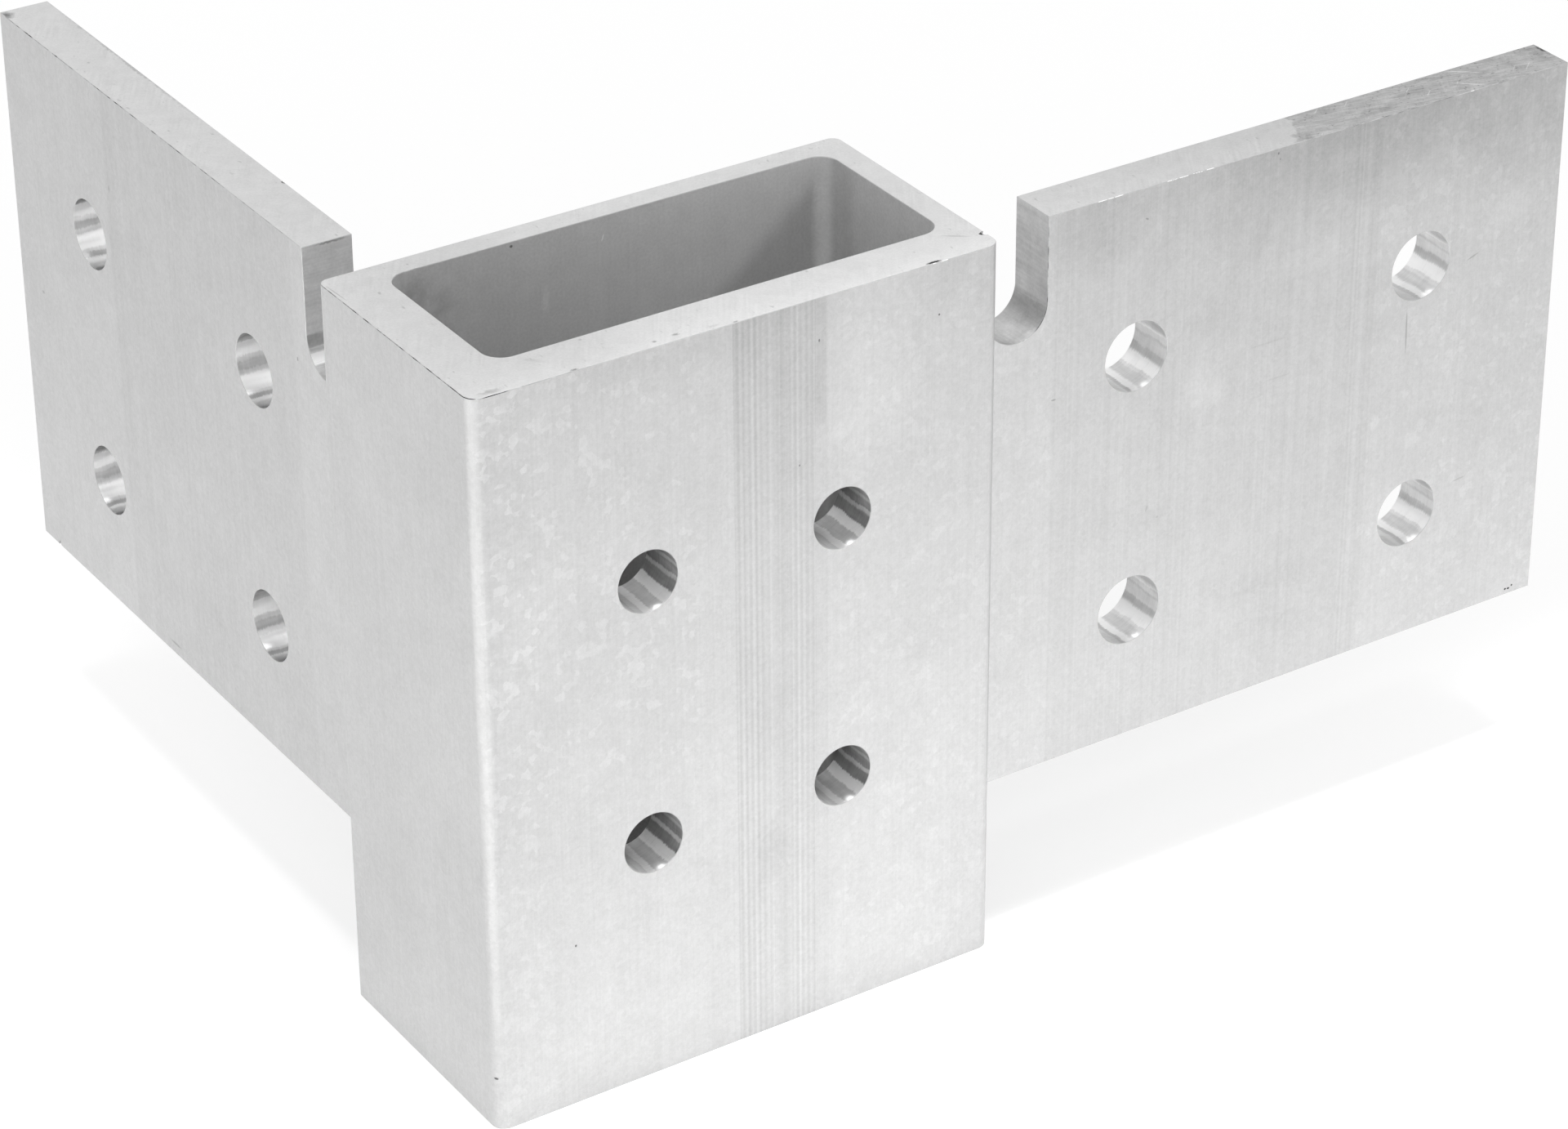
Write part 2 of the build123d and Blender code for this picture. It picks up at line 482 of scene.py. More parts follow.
@dataclass(frozen=True, kw_only=True)
class MillSkin(Finish):
    """Aluminium as it leaves the extrusion die, stretched and aged in the oven and not finished further.

    To the eye it is a soft, nearly matt silver. Fine lines from the die run up the section, stronger
    where the die's bearing is worn, with pale crystal flecks and faint clouds over them, and the marks of
    handling. The lines and flecks are fainter on the left wing. Painted shade darkens the right wing's top.
    """

    name: str = "mill_finish_extruded_aluminium"
    dark_hex: str = "#7a7a7a"
    light_hex: str = "#f4f4f4"
    roughness: float = 0.46
    bright: float = 0.555
    grain_width: float = 0.6
    line_width: float = 2.2
    band_pitch: float = 1.76
    fleck_width: float = 2.2
    grain_size: float = 1.2
    tube_right: float = 76.25
    tube_back: float = 39.75
    marks: tuple[Mark, ...] = (
        # Pits in the tube's front
        Mark((-83.0, -41.0, 16.3), (0.5, 3, 0.5), -70),
        Mark((-58.5, -43.5, 50.5), (0.4, 3, 0.5), -70),
        Mark((56.5, -43.5, 205.6), (0.4, 3, 0.4), -60),
        Mark((19.0, -43.5, 208.7), (0.35, 3, 0.6), -45),
        Mark((12.8, -43.5, 173.9), (0.35, 3, 0.4), -40),
        # Rubbed dirt on the tube's front, beside the lower holes and in the band
        Mark((-19.0, -43.5, 62.0), (7, 4, 3.5), -6, core=0.0, ragged=4),
        Mark((3.0, -43.5, 58.0), (8, 4, 14), -7, core=0.0, ragged=5),
        Mark((53.0, -43.5, 50.0), (9, 4, 6), -5, core=0.0, ragged=5),
        # Pale rubs beside and below the stain
        Mark((36.0, -43.5, 192.0), (20, 4, 34), 7, core=0.2, ragged=5),
        Mark((25.0, -43.5, 180.0), (6, 4, 3), 7, core=0.2, ragged=3),
        Mark((45.0, -43.5, 62.0), (8, 4, 6), 4, core=0.2, ragged=3),
        Mark((-70.0, -43.5, 148.0), (20, 3, 40), 5, core=0.1, ragged=8),
        Mark((76.0, -43.5, 212.0), (16, 6, 26), -6, core=0.1, ragged=5),
        # Darker patches under the tube's top edge
        Mark((-24.0, -43.5, 222.0), (64, 4, 16), -6, core=0.3, ragged=3),
        Mark((60.0, -43.5, 217.0), (9, 4, 14), -8, core=0.1, ragged=3),
        # Scratches and pits on the right wing
        Mark((222.2, -37.5, 150.6), (0.35, 3, 8.8), -26, turn=(0, -1.5, 0)),
        Mark((245.4, -37.5, 168.3), (2.8, 3, 0.35), -22, turn=(0, -19, 0)),
        Mark((245.6, -37.5, 95.9), (3.0, 3, 0.35), -16, turn=(0, -6, 0)),
        Mark((131.4, -37.5, 121.4), (0.4, 3, 1.2), -14, turn=(0, 20, 0)),
        Mark((135.2, -37.5, 117.6), (0.6, 3, 0.4), -14),
        Mark((98.5, -37.5, 165.2), (1.0, 3, 0.35), -30),
        Mark((128.4, -37.5, 211.6), (0.7, 3, 0.35), -30, turn=(0, 30, 0)),
        Mark((172.7, -37.5, 219.5), (0.35, 3, 0.5), -34),
        Mark((173.4, -37.5, 217.6), (0.3, 3, 0.4), -22),
        Mark((267.0, -37.5, 51.8), (0.5, 3, 0.4), -90),
        Mark((268.2, -37.5, 51.7), (0.6, 3, 0.4), -90),
        Mark((269.5, -37.5, 52.4), (0.4, 3, 0.4), -90),
        # Painted shade darkening the top of the right wing
        Mark((215.0, -37.5, 228.0), (130, 20, 44), -27, core=0.0, ragged=9),
        Mark((255.0, -37.5, 199.0), (30, 6, 22), -7, core=0.1, ragged=6),
        # Handling clouds on the right wing
        Mark((168.0, -37.5, 196.0), (5, 6, 14), -6, core=0.1, ragged=4),
        Mark((279.0, -37.5, 200.0), (18, 6, 32), -8, core=0.2, ragged=6),
        Mark((112.0, -37.5, 216.0), (26, 6, 26), -10, core=0.1, ragged=6),
        Mark((149.0, -37.5, 153.0), (9, 6, 12), 6, core=0.2, ragged=5),
        Mark((151.0, -37.5, 174.0), (14, 6, 10), -4, core=0.2, ragged=6),
        Mark((232.0, -37.5, 119.0), (9, 6, 7), -4, core=0.2, ragged=4),
        Mark((172.0, -37.5, 161.6), (8, 3, 0.4), -7),
        Mark((176.0, -37.5, 149.6), (5, 3, 0.4), -7),
        Mark((188.0, -37.5, 184.0), (20, 6, 7), 4, core=0.2, ragged=5),
        Mark((258.0, -37.5, 180.0), (11, 6, 10), 5, core=0.2, ragged=4),
        Mark((180.0, -37.5, 84.0), (32, 6, 6), -4, core=0.2, ragged=6),
        Mark((175.0, -37.5, 70.0), (24, 6, 4), -3, core=0.2, ragged=6),
        # Pits and a rub on the left wing
        Mark((-77.75, 60.8, 185.8), (3, 0.5, 0.8), -36),
        Mark((-77.75, 172.0, 191.0), (3, 0.7, 1.4), -14),
        Mark((-77.75, 223.5, 137.0), (3, 1.2, 0.6), -20),
        Mark((-77.75, 192.0, 145.0), (4, 5, 4), 4, core=0.1, ragged=3),
        Mark((-77.75, 150.0, 53.5), (3, 4, 0.5), -24),
    )

    def die_lines(self, coat: Coat) -> None:
        """Lays the lines that the die leaves up the section.

        Args:
            coat: The metal that gets them.
        """
        fine = coat.pattern(self.grain_width, (1, 1, 0.006), Detail=3.0, Roughness=0.6)
        coat.lay(fine, 11.0)
        coat.relief(fine, 0.006)
        # On each wing the lines start about 22 mm out from the tube and fade past the middle
        out_x = coat.node(MATH, [coat.x, self.tube_right], operation="SUBTRACT")
        out_y = coat.node(MATH, [coat.y, self.tube_back], operation="SUBTRACT")
        out = coat.node(MATH, [out_x, out_y], operation="MAXIMUM")
        lined = coat.zone(out, 22.2, 134, 1.2)
        quiet = coat.node(RANGE, [coat.x, -60, 60, 0.45, 1.0])
        wide = coat.pattern(self.line_width, (1, 1, 0.002), Detail=2.0, Roughness=0.7)
        coat.lay(wide, 15.0, coat.overlap(lined, quiet))
        coat.tint(lined, -3.5)
        cluster = coat.pattern(1.1, (1, 1, 0.001), Detail=1.0)
        coat.lay(cluster, 15.0, coat.overlap(coat.zone(out, 124, 131, 1), quiet))

    def worn_band(self, coat: Coat) -> None:
        """Lays the dark lined band up the middle of the tube's front, and the stain at its top.

        Args:
            coat: The metal that gets it.
        """
        front = coat.node(MATH, [coat.y, -42.0], operation="LESS_THAN")
        band = coat.overlap(coat.zone(coat.x, -7.4, 17.9, 0.4), front)
        coat.tint(band, -4.5)
        coat.tint(band, -5.0, coat.zone(coat.z, 185, 300, 60))
        turns = coat.node(MATH, [coat.x, -6.1], operation="SUBTRACT")
        turns = coat.node(MATH, [turns, 2 * pi / self.band_pitch], operation="MULTIPLY")
        wave = coat.node(MATH, [turns], operation="COSINE")
        uneven = coat.overlap(wave, coat.pattern(2.4, (1, 1, 0.002), Detail=1.0))
        for low, high in ((-7.0, 4.0), (9.2, 17.6)):
            coat.tint(uneven, -7.5, coat.overlap(coat.zone(coat.x, low, high, 0.3), front))
        for low, high, soft, levels in ((5.0, 9.0, 0.6, -3.0), (3.8, 4.7, 0.5, 4.0), (17.9, 21.6, 0.5, -2.5)):
            coat.tint(coat.zone(coat.x, low, high, soft), levels, front)
        coat.lay(coat.pattern(0.9, (1, 1, 0.001), Detail=2.0), 18.0, band)
        # The stain beside the band's top ends in a ragged edge
        edge = coat.node(MATH, [coat.pattern(5, Detail=3.0), 10.0, coat.z], operation="MULTIPLY_ADD")
        stain = coat.overlap(coat.zone(edge, 190, 300, 3), coat.zone(coat.x, 17.6, 21.2, 0.7))
        coat.tint(stain, -8.0, front)

    def flecks(self, coat: Coat) -> None:
        """Lays the pale crystal flecks, which gather in clusters, and the fine grain between them.

        Args:
            coat: The metal that gets them.
        """
        cloud = coat.pattern(1.3, Detail=2.0).outputs["Color"]
        bent = coat.node(VECTOR, [cloud, (1.6,) * 3, coat.place], operation="MULTIPLY_ADD")
        tones = []
        for size in (self.grain_size, self.fleck_width):
            cells = coat.node("ShaderNodeTexVoronoi", {"Vector": bent, "Scale": 1 / size}).outputs["Color"]
            tones.append(coat.node("ShaderNodeSeparateColor", [cells]).outputs["Red"])
        grain, chance = tones
        coat.lay(grain, 5.0)
        chance = coat.node(MATH, [coat.pattern(11, Detail=2.0), 0.9, chance], operation="MULTIPLY_ADD")
        fleck = coat.node(RANGE, [chance, 1.30, 1.35], interpolation_type="SMOOTHSTEP")
        more = coat.node(RANGE, [chance, 1.13, 1.2], interpolation_type="SMOOTHSTEP")
        on_front = coat.node(MATH, [coat.y, 34.0], operation="LESS_THAN")
        tube_front = coat.node(MATH, [coat.y, -41.5], operation="LESS_THAN")
        left_third = coat.overlap(coat.zone(coat.x, -82, -18, 3), on_front)
        coat.tint(fleck, 1.5, left_third)
        coat.tint(fleck, 5.0, coat.overlap(left_third, coat.zone(coat.z, 95, 400, 60)))
        coat.tint(more, 3.0, coat.overlap(coat.zone(coat.x, -90, -66, 8), tube_front))
        coat.tint(fleck, 4.0, coat.zone(coat.x, 24, 98, 3))
        coat.tint(fleck, 5.0, coat.zone(coat.x, 208, 300, 6))

    def layers(self, coat: Coat) -> None:
        """Lays the die lines, the worn band, the flecks and then faint clouds of four sizes.

        Args:
            coat: The metal that gets them.
        """
        self.die_lines(coat)
        self.worn_band(coat)
        self.flecks(coat)
        for size, detail, levels in ((0.9, 3.0, 13.0), (0.4, 1.0, 10.0), (8, 2.0, 8.0)):
            coat.lay(coat.pattern(size, Detail=detail), levels)
        coat.lay(coat.pattern(34, (1, 1, 0.8), Detail=3.0, Distortion=0.6), 10.0)


@dataclass(frozen=True, kw_only=True)
class SawnEnd(Finish):
    """Aluminium section cut square with a circular saw.

    To the eye it is a brighter silver than the skin. Fine streaks from the blade cross it at two slants,
    in patches, with small dark specks between them. The right wing's end half was cut rougher and is
    darker, with chips and pale scratches.
    """

    name: str = "saw_cut_aluminium"
    dark_hex: str = "#a0a0a0"
    light_hex: str = "#fcfcfc"
    roughness: float = 0.5
    bright: float = 0.535
    tooth_pitch: float = 1.0
    marks: tuple[Mark, ...] = (
        # Dents and dirt at the corners of the left wing and the tube
        Mark((-77.4, 234.5, 221.0), (3.2, 3.8, 3), -72, core=0.1, ragged=1.5),
        Mark((-63.0, 185.0, 221.0), (0.9, 56, 3), -26, core=0.2, ragged=1.5),
        # Painted shade inside the nick on the left wing's top edge
        Mark((-62.9, 92.5, 221.0), (0.9, 1.2, 3), -90, core=0.3, ragged=0.5),
        # Dents and dirt on the tube's top
        Mark((-77.0, -41.6, 221.0), (5, 1.6, 3), -40, core=0.0, ragged=1.2),
        Mark((-53.5, -42.9, 221.0), (1.6, 0.7, 3), -60, core=0.3, ragged=0.6),
        Mark((-29.0, -41.0, 221.0), (1.0, 0.7, 3), -50, core=0.2, ragged=0.5),
        Mark((-22.5, -40.6, 221.0), (1.3, 0.9, 3), -50, core=0.2, ragged=0.6),
        Mark((-12.0, -41.8, 221.0), (2.6, 1.0, 3), -20, core=0.0, ragged=0.8),
        Mark((-6.0, -43.0, 221.0), (1.0, 0.5, 3), -60, core=0.3, ragged=0.4),
        # A burr's dark line painted as its shadow, and painted shade inside the nick at the tube's right top
        # edge
        Mark((55.0, -42.9, 221.0), (3.0, 0.7, 3), -120, core=0.4, ragged=0.4),
        Mark((75.2, -36.0, 221.0), (1.2, 0.9, 3), -160, core=0.5, ragged=0.4),
        # Drag marks
        Mark((68.5, -33.4, 221.0), (5.5, 0.7, 3), -22, turn=(0, 0, -37), core=0.2),
        Mark((-59.5, -33.0, 221.0), (4.2, 1.2, 3), -12, turn=(0, 0, -50), core=0.1),
        Mark((-82.7, 27.0, 221.0), (0.25, 7, 3), -34, turn=(0, 0, 3), core=0.3),
        # Blotches in the rough part, a burr's dark line by the end painted as its shadow, and pale scratches
        Mark((212.0, -33.5, 221.0), (13, 3, 3), -14, core=0.0, ragged=3),
        Mark((229.0, -29.5, 221.0), (12, 3, 3), -12, core=0.0, ragged=3),
        Mark((275.9, -27.0, 221.0), (1.2, 5, 3), -60, core=0.1, ragged=1.5),
        Mark((273.0, -29.0, 221.0), (3.0, 8, 3), -14, core=0.1, ragged=2),
        Mark((247.0, -26.0, 221.0), (8, 0.5, 3), 30, turn=(0, 0, -38), core=0.3),
        Mark((243.0, -33.0, 221.0), (6, 0.5, 3), 30, turn=(0, 0, -42), core=0.3),
    )

    def layers(self, coat: Coat) -> None:
        """Lays the streaks, the specks and the rough part.

        Args:
            coat: The metal that gets them.
        """
        for turn, levels, patch in ((-32, 24.0, 14), (47, 7.0, 9)):
            streaks = coat.pattern(self.tooth_pitch, (1, 0.05, 1), turn, Detail=2.0)
            coat.lay(streaks, levels, coat.node(RANGE, [coat.pattern(patch, Detail=1.0), 0.42, 0.6]))
        fine = coat.pattern(0.6, Detail=3.0)
        coat.lay(fine, 22.0)
        coat.relief(fine, 0.004)
        coat.lay(coat.pattern(5, Detail=3.0, Distortion=0.5), 18.0)
        coat.tint(coat.node(RANGE, [coat.pattern(1.4, (1, 0.5, 1), Detail=1.0), 0.70, 0.80]), -24.0)
        # Duller toward the left, and less and less bright along the right wing
        coat.tint(coat.zone(coat.x, -100, -36, 26), -10.0)
        coat.lay(coat.node(RANGE, [coat.x, 92, 184]), -14.0, middle=0.3)
        coat.tint(coat.zone(coat.x, 84, 500, 8), -9.0)
        coat.tint(coat.zone(coat.x, 225, 500, 30), -1.0)
        # The rough part starts at a slanted, ragged line
        edge = coat.node(MATH, [coat.pattern(6, Detail=3.0), 10.0, coat.x], operation="MULTIPLY_ADD")
        rough = coat.zone(coat.node(MATH, [coat.y, -0.5, edge], operation="MULTIPLY_ADD"), 203, 500, 1.2)
        coat.tint(rough, -22.0)
        coat.lay(coat.pattern(2.6, (0.4, 1, 1), -12, Detail=4.0), 40.0, rough)
        coat.lay(coat.pattern(0.7, (0.14, 1, 1), -12, Detail=4.0), 56.0, rough)
        coat.tint(coat.node(RANGE, [coat.pattern(1.1, Detail=2.0), 0.62, 0.7]), -30.0, rough)
        scratches = coat.pattern(1.0, (1, 0.08, 1), -50, Detail=1.0)
        coat.tint(coat.node(RANGE, [scratches, 0.68, 0.76]), 30.0, rough)


@dataclass(frozen=True, kw_only=True)
class MilledSlot(Finish):
    """Aluminium cut with the side of an end mill.

    To the eye it is a duller grey than the skin, faintly blotched and lined across at each bite of the
    cutter. Bands at set heights, each with its levels, are painted shade and a painted highlight across the
    slot's round bottom, and soft is how wide their edges are.
    """

    across: Run
    painted_bands: tuple[Triple, ...]
    soft: float
    dark_hex: str = "#8a8a8a"
    light_hex: str = "#ffffff"
    roughness: float = 0.5
    bite: float = 0.9

    def layers(self, coat: Coat) -> None:
        """Lays the lines of the cutter's bites, the blotches and the painted shade and highlight bands.

        Args:
            coat: The metal that gets them.
        """
        along = self.across.stretch(0.05)
        bites = coat.pattern(self.bite, along, Detail=3.0)
        coat.lay(bites, 30.0)
        coat.relief(bites, 0.004)
        coat.lay(coat.pattern(0.8, Detail=3.0), 24.0)
        coat.lay(coat.pattern(4, Detail=3.0), 36.0)
        ragged = coat.pattern(0.8, along, Detail=3.0)
        height = coat.node(MATH, [ragged, 3.0, coat.z], operation="MULTIPLY_ADD")
        height = coat.node(MATH, [height, 1.5], operation="SUBTRACT")
        # Painted shade and highlight in bands across the slot's round bottom
        for low, high, levels in self.painted_bands:
            coat.tint(coat.zone(height, low, high, self.soft), levels)


@dataclass(frozen=True, kw_only=True)
class DrilledBore(Finish):
    """Aluminium left by a twist drill, with reflections painted into its holes.

    To the eye it is bright, with light and dark bands of painted reflection that run through each hole at
    the same angles, and fine rings round it that make the bands' edges ragged and spread each reflection
    along the hole. An angle of zero is toward +x or +y. The first hole, the spacing and the drift, in
    degrees for each millimetre from the first hole, are each given across the face and up it.
    """

    axis: Run
    first: Pair
    spacing: Pair
    painted_bands: tuple[Triple, ...]
    drift: Pair
    dark_hex: str = "#5a5a5a"
    light_hex: str = "#ffffff"
    roughness: float = 0.6
    spread: float = 1.0
    soft: float = 4.0
    seam: float = -140.0

    def angle(self, coat: Coat) -> Node:
        """Works out the angle round each hole, with the same half turn twice.

        Args:
            coat: The metal that it is for.

        Returns:
            The angle in degrees, for half a turn from the seam.
        """
        across_face = coat.y if self.axis is Run.ALONG_X else coat.x
        own, drifted = [], 0.0
        for value, first, spacing, drift in zip((across_face, coat.z), self.first, self.spacing, self.drift):
            wrapped = coat.node(MATH, [value, first + spacing / 2, first - spacing / 2], operation="WRAP")
            own.append(coat.node(MATH, [wrapped, first], operation="SUBTRACT"))
            out = coat.node(MATH, [value, first], operation="SUBTRACT")
            drifted = coat.node(MATH, [out, -drift, drifted], operation="MULTIPLY_ADD")
        turned = coat.node(MATH, [own[1], own[0]], operation="ARCTAN2")
        turned = coat.node(MATH, [turned], operation="DEGREES")
        turned = coat.node(MATH, [turned, drifted], operation="ADD")
        rings = coat.pattern(0.5, self.axis.stretch(1.0, 0.1), Detail=3.0)
        for jitter, degrees in ((rings, 7.0), (coat.pattern(6, Detail=1.0), 9.0)):
            off = coat.node(MATH, [jitter, 0.5], operation="SUBTRACT")
            turned = coat.node(MATH, [off, degrees, turned], operation="MULTIPLY_ADD")
        return coat.node(MATH, [turned, self.seam + 180, self.seam], operation="WRAP")

    def layers(self, coat: Coat) -> None:
        """Lays the painted reflection bands, and over them the drill's rings, its feed lines and faint
        clouds.

        Args:
            coat: The metal that gets them.
        """
        angle = self.angle(coat)
        # Painted reflections: light and dark bands at set angles round each hole
        for low, high, levels in self.painted_bands:
            coat.tint(coat.zone(angle, low, high, self.soft), levels)
        coat.shader.inputs["Anisotropic"].default_value = self.spread
        tangent = coat.node("ShaderNodeCombineXYZ", self.axis.stretch(1.0, 0.0))
        coat.tree.links.new(tangent.outputs[0], coat.shader.inputs["Tangent"])
        coat.lay(coat.pattern(1.6, self.axis.stretch(0.06), Detail=2.0), 22.0)
        rings = coat.pattern(0.6, self.axis.stretch(1.0, 0.12), Detail=3.0)
        coat.lay(rings, 20.0)
        coat.relief(rings, 0.006)
        coat.lay(coat.pattern(3, Detail=3.0), 24.0)


@dataclass(frozen=True, kw_only=True)
class SocketSkin(Finish):
    """The inside of the extruded tube, which the die's mandrel forms.

    To the eye it is duller and more matt than the outside and evenly mottled. It carries painted light and
    shade: a pale painted highlight up the far corner and a painted dark wedge beside it, painted shade
    toward the top, the left and the right wall, and painted shade deep down, where little light comes.
    """

    name: str = "extruded_aluminium_inside"
    dark_hex: str = "#9a9a9a"
    light_hex: str = "#ffffff"
    roughness: float = 0.72
    bright: float = 0.79
    marks: tuple[Mark, ...] = (
        # Dark mottling at the left end of the back wall
        Mark((-60.0, 28.0, 214.0), (7, 3, 9), -20, core=0.0, ragged=4),
        Mark((-52.0, 28.0, 208.0), (6, 3, 7), -14, core=0.0, ragged=4),
        # A pit, a scratch and a pale rub on the back wall
        Mark((-30.4, 28.0, 219.6), (0.6, 3, 0.5), -70),
        Mark((-2.6, 28.0, 214.6), (0.3, 3, 1.4), 30, turn=(0, 20, 0)),
        Mark((-20.5, 28.0, 201.0), (1.6, 3, 6), 12, core=0.1, ragged=1),
    )

    def layers(self, coat: Coat) -> None:
        """Lays the mottling, painted shade up and along the walls, the painted wedge and the painted corner
        line.

        Args:
            coat: The metal that gets them.
        """
        coat.lay(coat.pattern(1.4, (1, 1, 0.02), Detail=3.0), 8.0)
        coat.lay(coat.pattern(0.8, Detail=4.0), 28.0)
        coat.lay(coat.pattern(6, Detail=3.0), 14.0)
        coat.lay(coat.pattern(5, Detail=4.0), 30.0, coat.zone(coat.x, -90, -46, 16))
        # Painted shade: a little darker at the top and the left, and dark deep down, where little light comes
        coat.tint(coat.node(RANGE, [coat.z, 145, 221]), -26.0)
        coat.lay(coat.node(RANGE, [coat.x, -60, 60]), 20.0, middle=0.45)
        coat.tint(coat.node(RANGE, [coat.z, 125, 80]), -70.0)
        # Painted shade in a wedge beside the far corner, a painted highlight up it, and a shaded right wall
        on_back = coat.node(MATH, [coat.y, 20.0], operation="GREATER_THAN")
        slant = coat.node(MATH, [coat.z, -1.232, coat.x], operation="MULTIPLY_ADD")
        painted_shade_wedge = coat.overlap(coat.zone(slant, -198, 900, 12), coat.zone(coat.x, -90, 64.3, 3))
        coat.tint(painted_shade_wedge, -26.0, on_back)
        coat.tint(coat.zone(coat.x, 64.6, 68.2, 3), 3.0, on_back)
        right = coat.zone(coat.x, 67.6, 90, 1.2)
        coat.tint(right, -12.0)
        coat.tint(right, -12.0, coat.zone(coat.y, 15, 25.5, 6))


@dataclass(frozen=True, kw_only=True)
class FiledEdge(Finish):
    """An edge where the saw's or drill's burr was knocked off with a file.

    To the eye it is the skin's grey, with a thin broken dark line, the burr's painted shadow, along the left
    and the rough top edges and round the right slot's bottom, and a few painted glints along the tube's and
    the right wing's top front edges.
    """

    name: str = "filed_aluminium_edge"
    dark_hex: str = "#2c2c2c"
    light_hex: str = "#ffffff"
    roughness: float = 0.45
    bright: float = 0.54

    def layers(self, coat: Coat) -> None:
        """Lays the broken lines of the burr's painted shadow and the painted glints.

        Args:
            coat: The metal that gets them.
        """
        coat.lay(coat.pattern(2, Detail=3.0), 24.0)
        at_top = coat.zone(coat.z, 220.4, 400, 0.2)
        painted_burr_shadow = coat.node(RANGE, [coat.pattern(3.5, Detail=4.0), 0.40, 0.60])
        patches = coat.node(RANGE, [coat.pattern(13, Detail=1.0), 0.42, 0.55])
        # The burr's painted shadow along the left, stronger toward the wing's end and on the tube
        left = coat.overlap(coat.zone(coat.x, -90, -72, 3), at_top)
        patchy = coat.overlap(patches, coat.node(RANGE, [coat.y, 60, 170, 0.25, 1.0]))
        coat.tint(coat.overlap(painted_burr_shadow, patchy), -70.0, left)
        coat.tint(coat.zone(coat.y, -42, -32, 2), -34.0, left)
        tube_part = coat.overlap(coat.zone(coat.y, -60, 38, 2), at_top)
        coat.tint(painted_burr_shadow, -34.0, coat.overlap(left, tube_part))
        coat.tint(painted_burr_shadow, -22.0, coat.overlap(coat.zone(coat.x, -90, -50, 6), tube_part))
        # The burr's painted shadow along the rough part and round the right slot's bottom
        rough = coat.overlap(coat.zone(coat.x, 180, 300, 3), at_top)
        coat.tint(coat.overlap(painted_burr_shadow, patches), -30.0, rough)
        coat.tint(painted_burr_shadow, -50.0, coat.overlap(coat.zone(coat.x, 88, 97, 1), coat.zone(coat.z, 184, 219, 3)))
        # Painted glints along the tube's and the right wing's top front edges
        painted_glint = coat.node(RANGE, [coat.pattern(0.9, Detail=2.0), 0.44, 0.54])
        at_front = coat.overlap(coat.zone(coat.y, -50, -37, 0.2), at_top)
        for low, high in ((54, 59.5), (112, 120), (135, 151), (240, 243)):
            coat.tint(painted_glint, 70.0, coat.overlap(coat.zone(coat.x, low, high, 1), at_front))


@dataclass
class PostTube:
    """The rectangular tube that the post slides into.

    The corner is its front left lower corner, and the hollow is open at both ends.
    """

    corner: Vector
    width: float = 160.0 * MM
    depth: float = 79.0 * MM
    height: float = 221.0 * MM
    front_wall: float = 15.5 * MM
    left_wall: float = 15.5 * MM
    back_wall: float = 7.5 * MM
    right_wall: float = 8.0 * MM
    front_radius: float = 4.0 * MM
    back_radius: float = 3.0 * MM
    socket_radius: float = 6.0 * MM
    hole_radius: float = 9.0 * MM
    holes_across: float = 60.0 * MM
    holes_up: float = 80.0 * MM
    hole_drop: float = 67.0 * MM

    @property
    def right(self) -> float:
        """The x of the tube's right face."""
        return self.corner.x + self.width

    @property
    def back(self) -> float:
        """The y of the tube's back face."""
        return self.corner.y + self.depth

    def solid(self) -> Piece:
        """Models the tube's outside, with its four upright edges rounded.

        Returns:
            The tube before its hollow is opened.
        """
        left, front = self.corner.x, self.corner.y
        top = Vector((self.right, self.back, self.corner.z + self.height))
        piece = box_between("bracket_body", self.corner, top)
        round_upright_edges(piece, [(left, front), (self.right, front)], self.front_radius, 12)
        round_upright_edges(piece, [(left, self.back), (self.right, self.back)], self.back_radius, 9)
        return piece

    def socket_cutter(self, overrun: float) -> Piece:
        """Models the hollow that the post fills.

        Args:
            overrun: How far it runs past each end of the tube.

        Returns:
            The cutter.
        """
        base, top = self.corner.z - overrun, self.corner.z + self.height + overrun
        low = Vector((self.corner.x + self.left_wall, self.corner.y + self.front_wall, base))
        high = Vector((self.right - self.right_wall, self.back - self.back_wall, top))
        cutter = box_between("socket_cutter", low, high)
        corners = [(x, y) for x in (low.x, high.x) for y in (low.y, high.y)]
        round_upright_edges(cutter, corners, self.socket_radius, 12)
        return cutter

    def drill_places(self) -> list[Vector]:
        """Works out where the front wall is drilled.

        Returns:
            The middle of each bolt hole.
        """
        middle = self.corner.x + self.width / 2
        top_row = self.corner.z + self.height - self.hole_drop
        wall_middle = self.corner.y + self.front_wall / 2
        return [
            Vector((middle + side * self.holes_across / 2, wall_middle, row))
            for side in (-1, 1)
            for row in (top_row - self.holes_up, top_row)
        ]


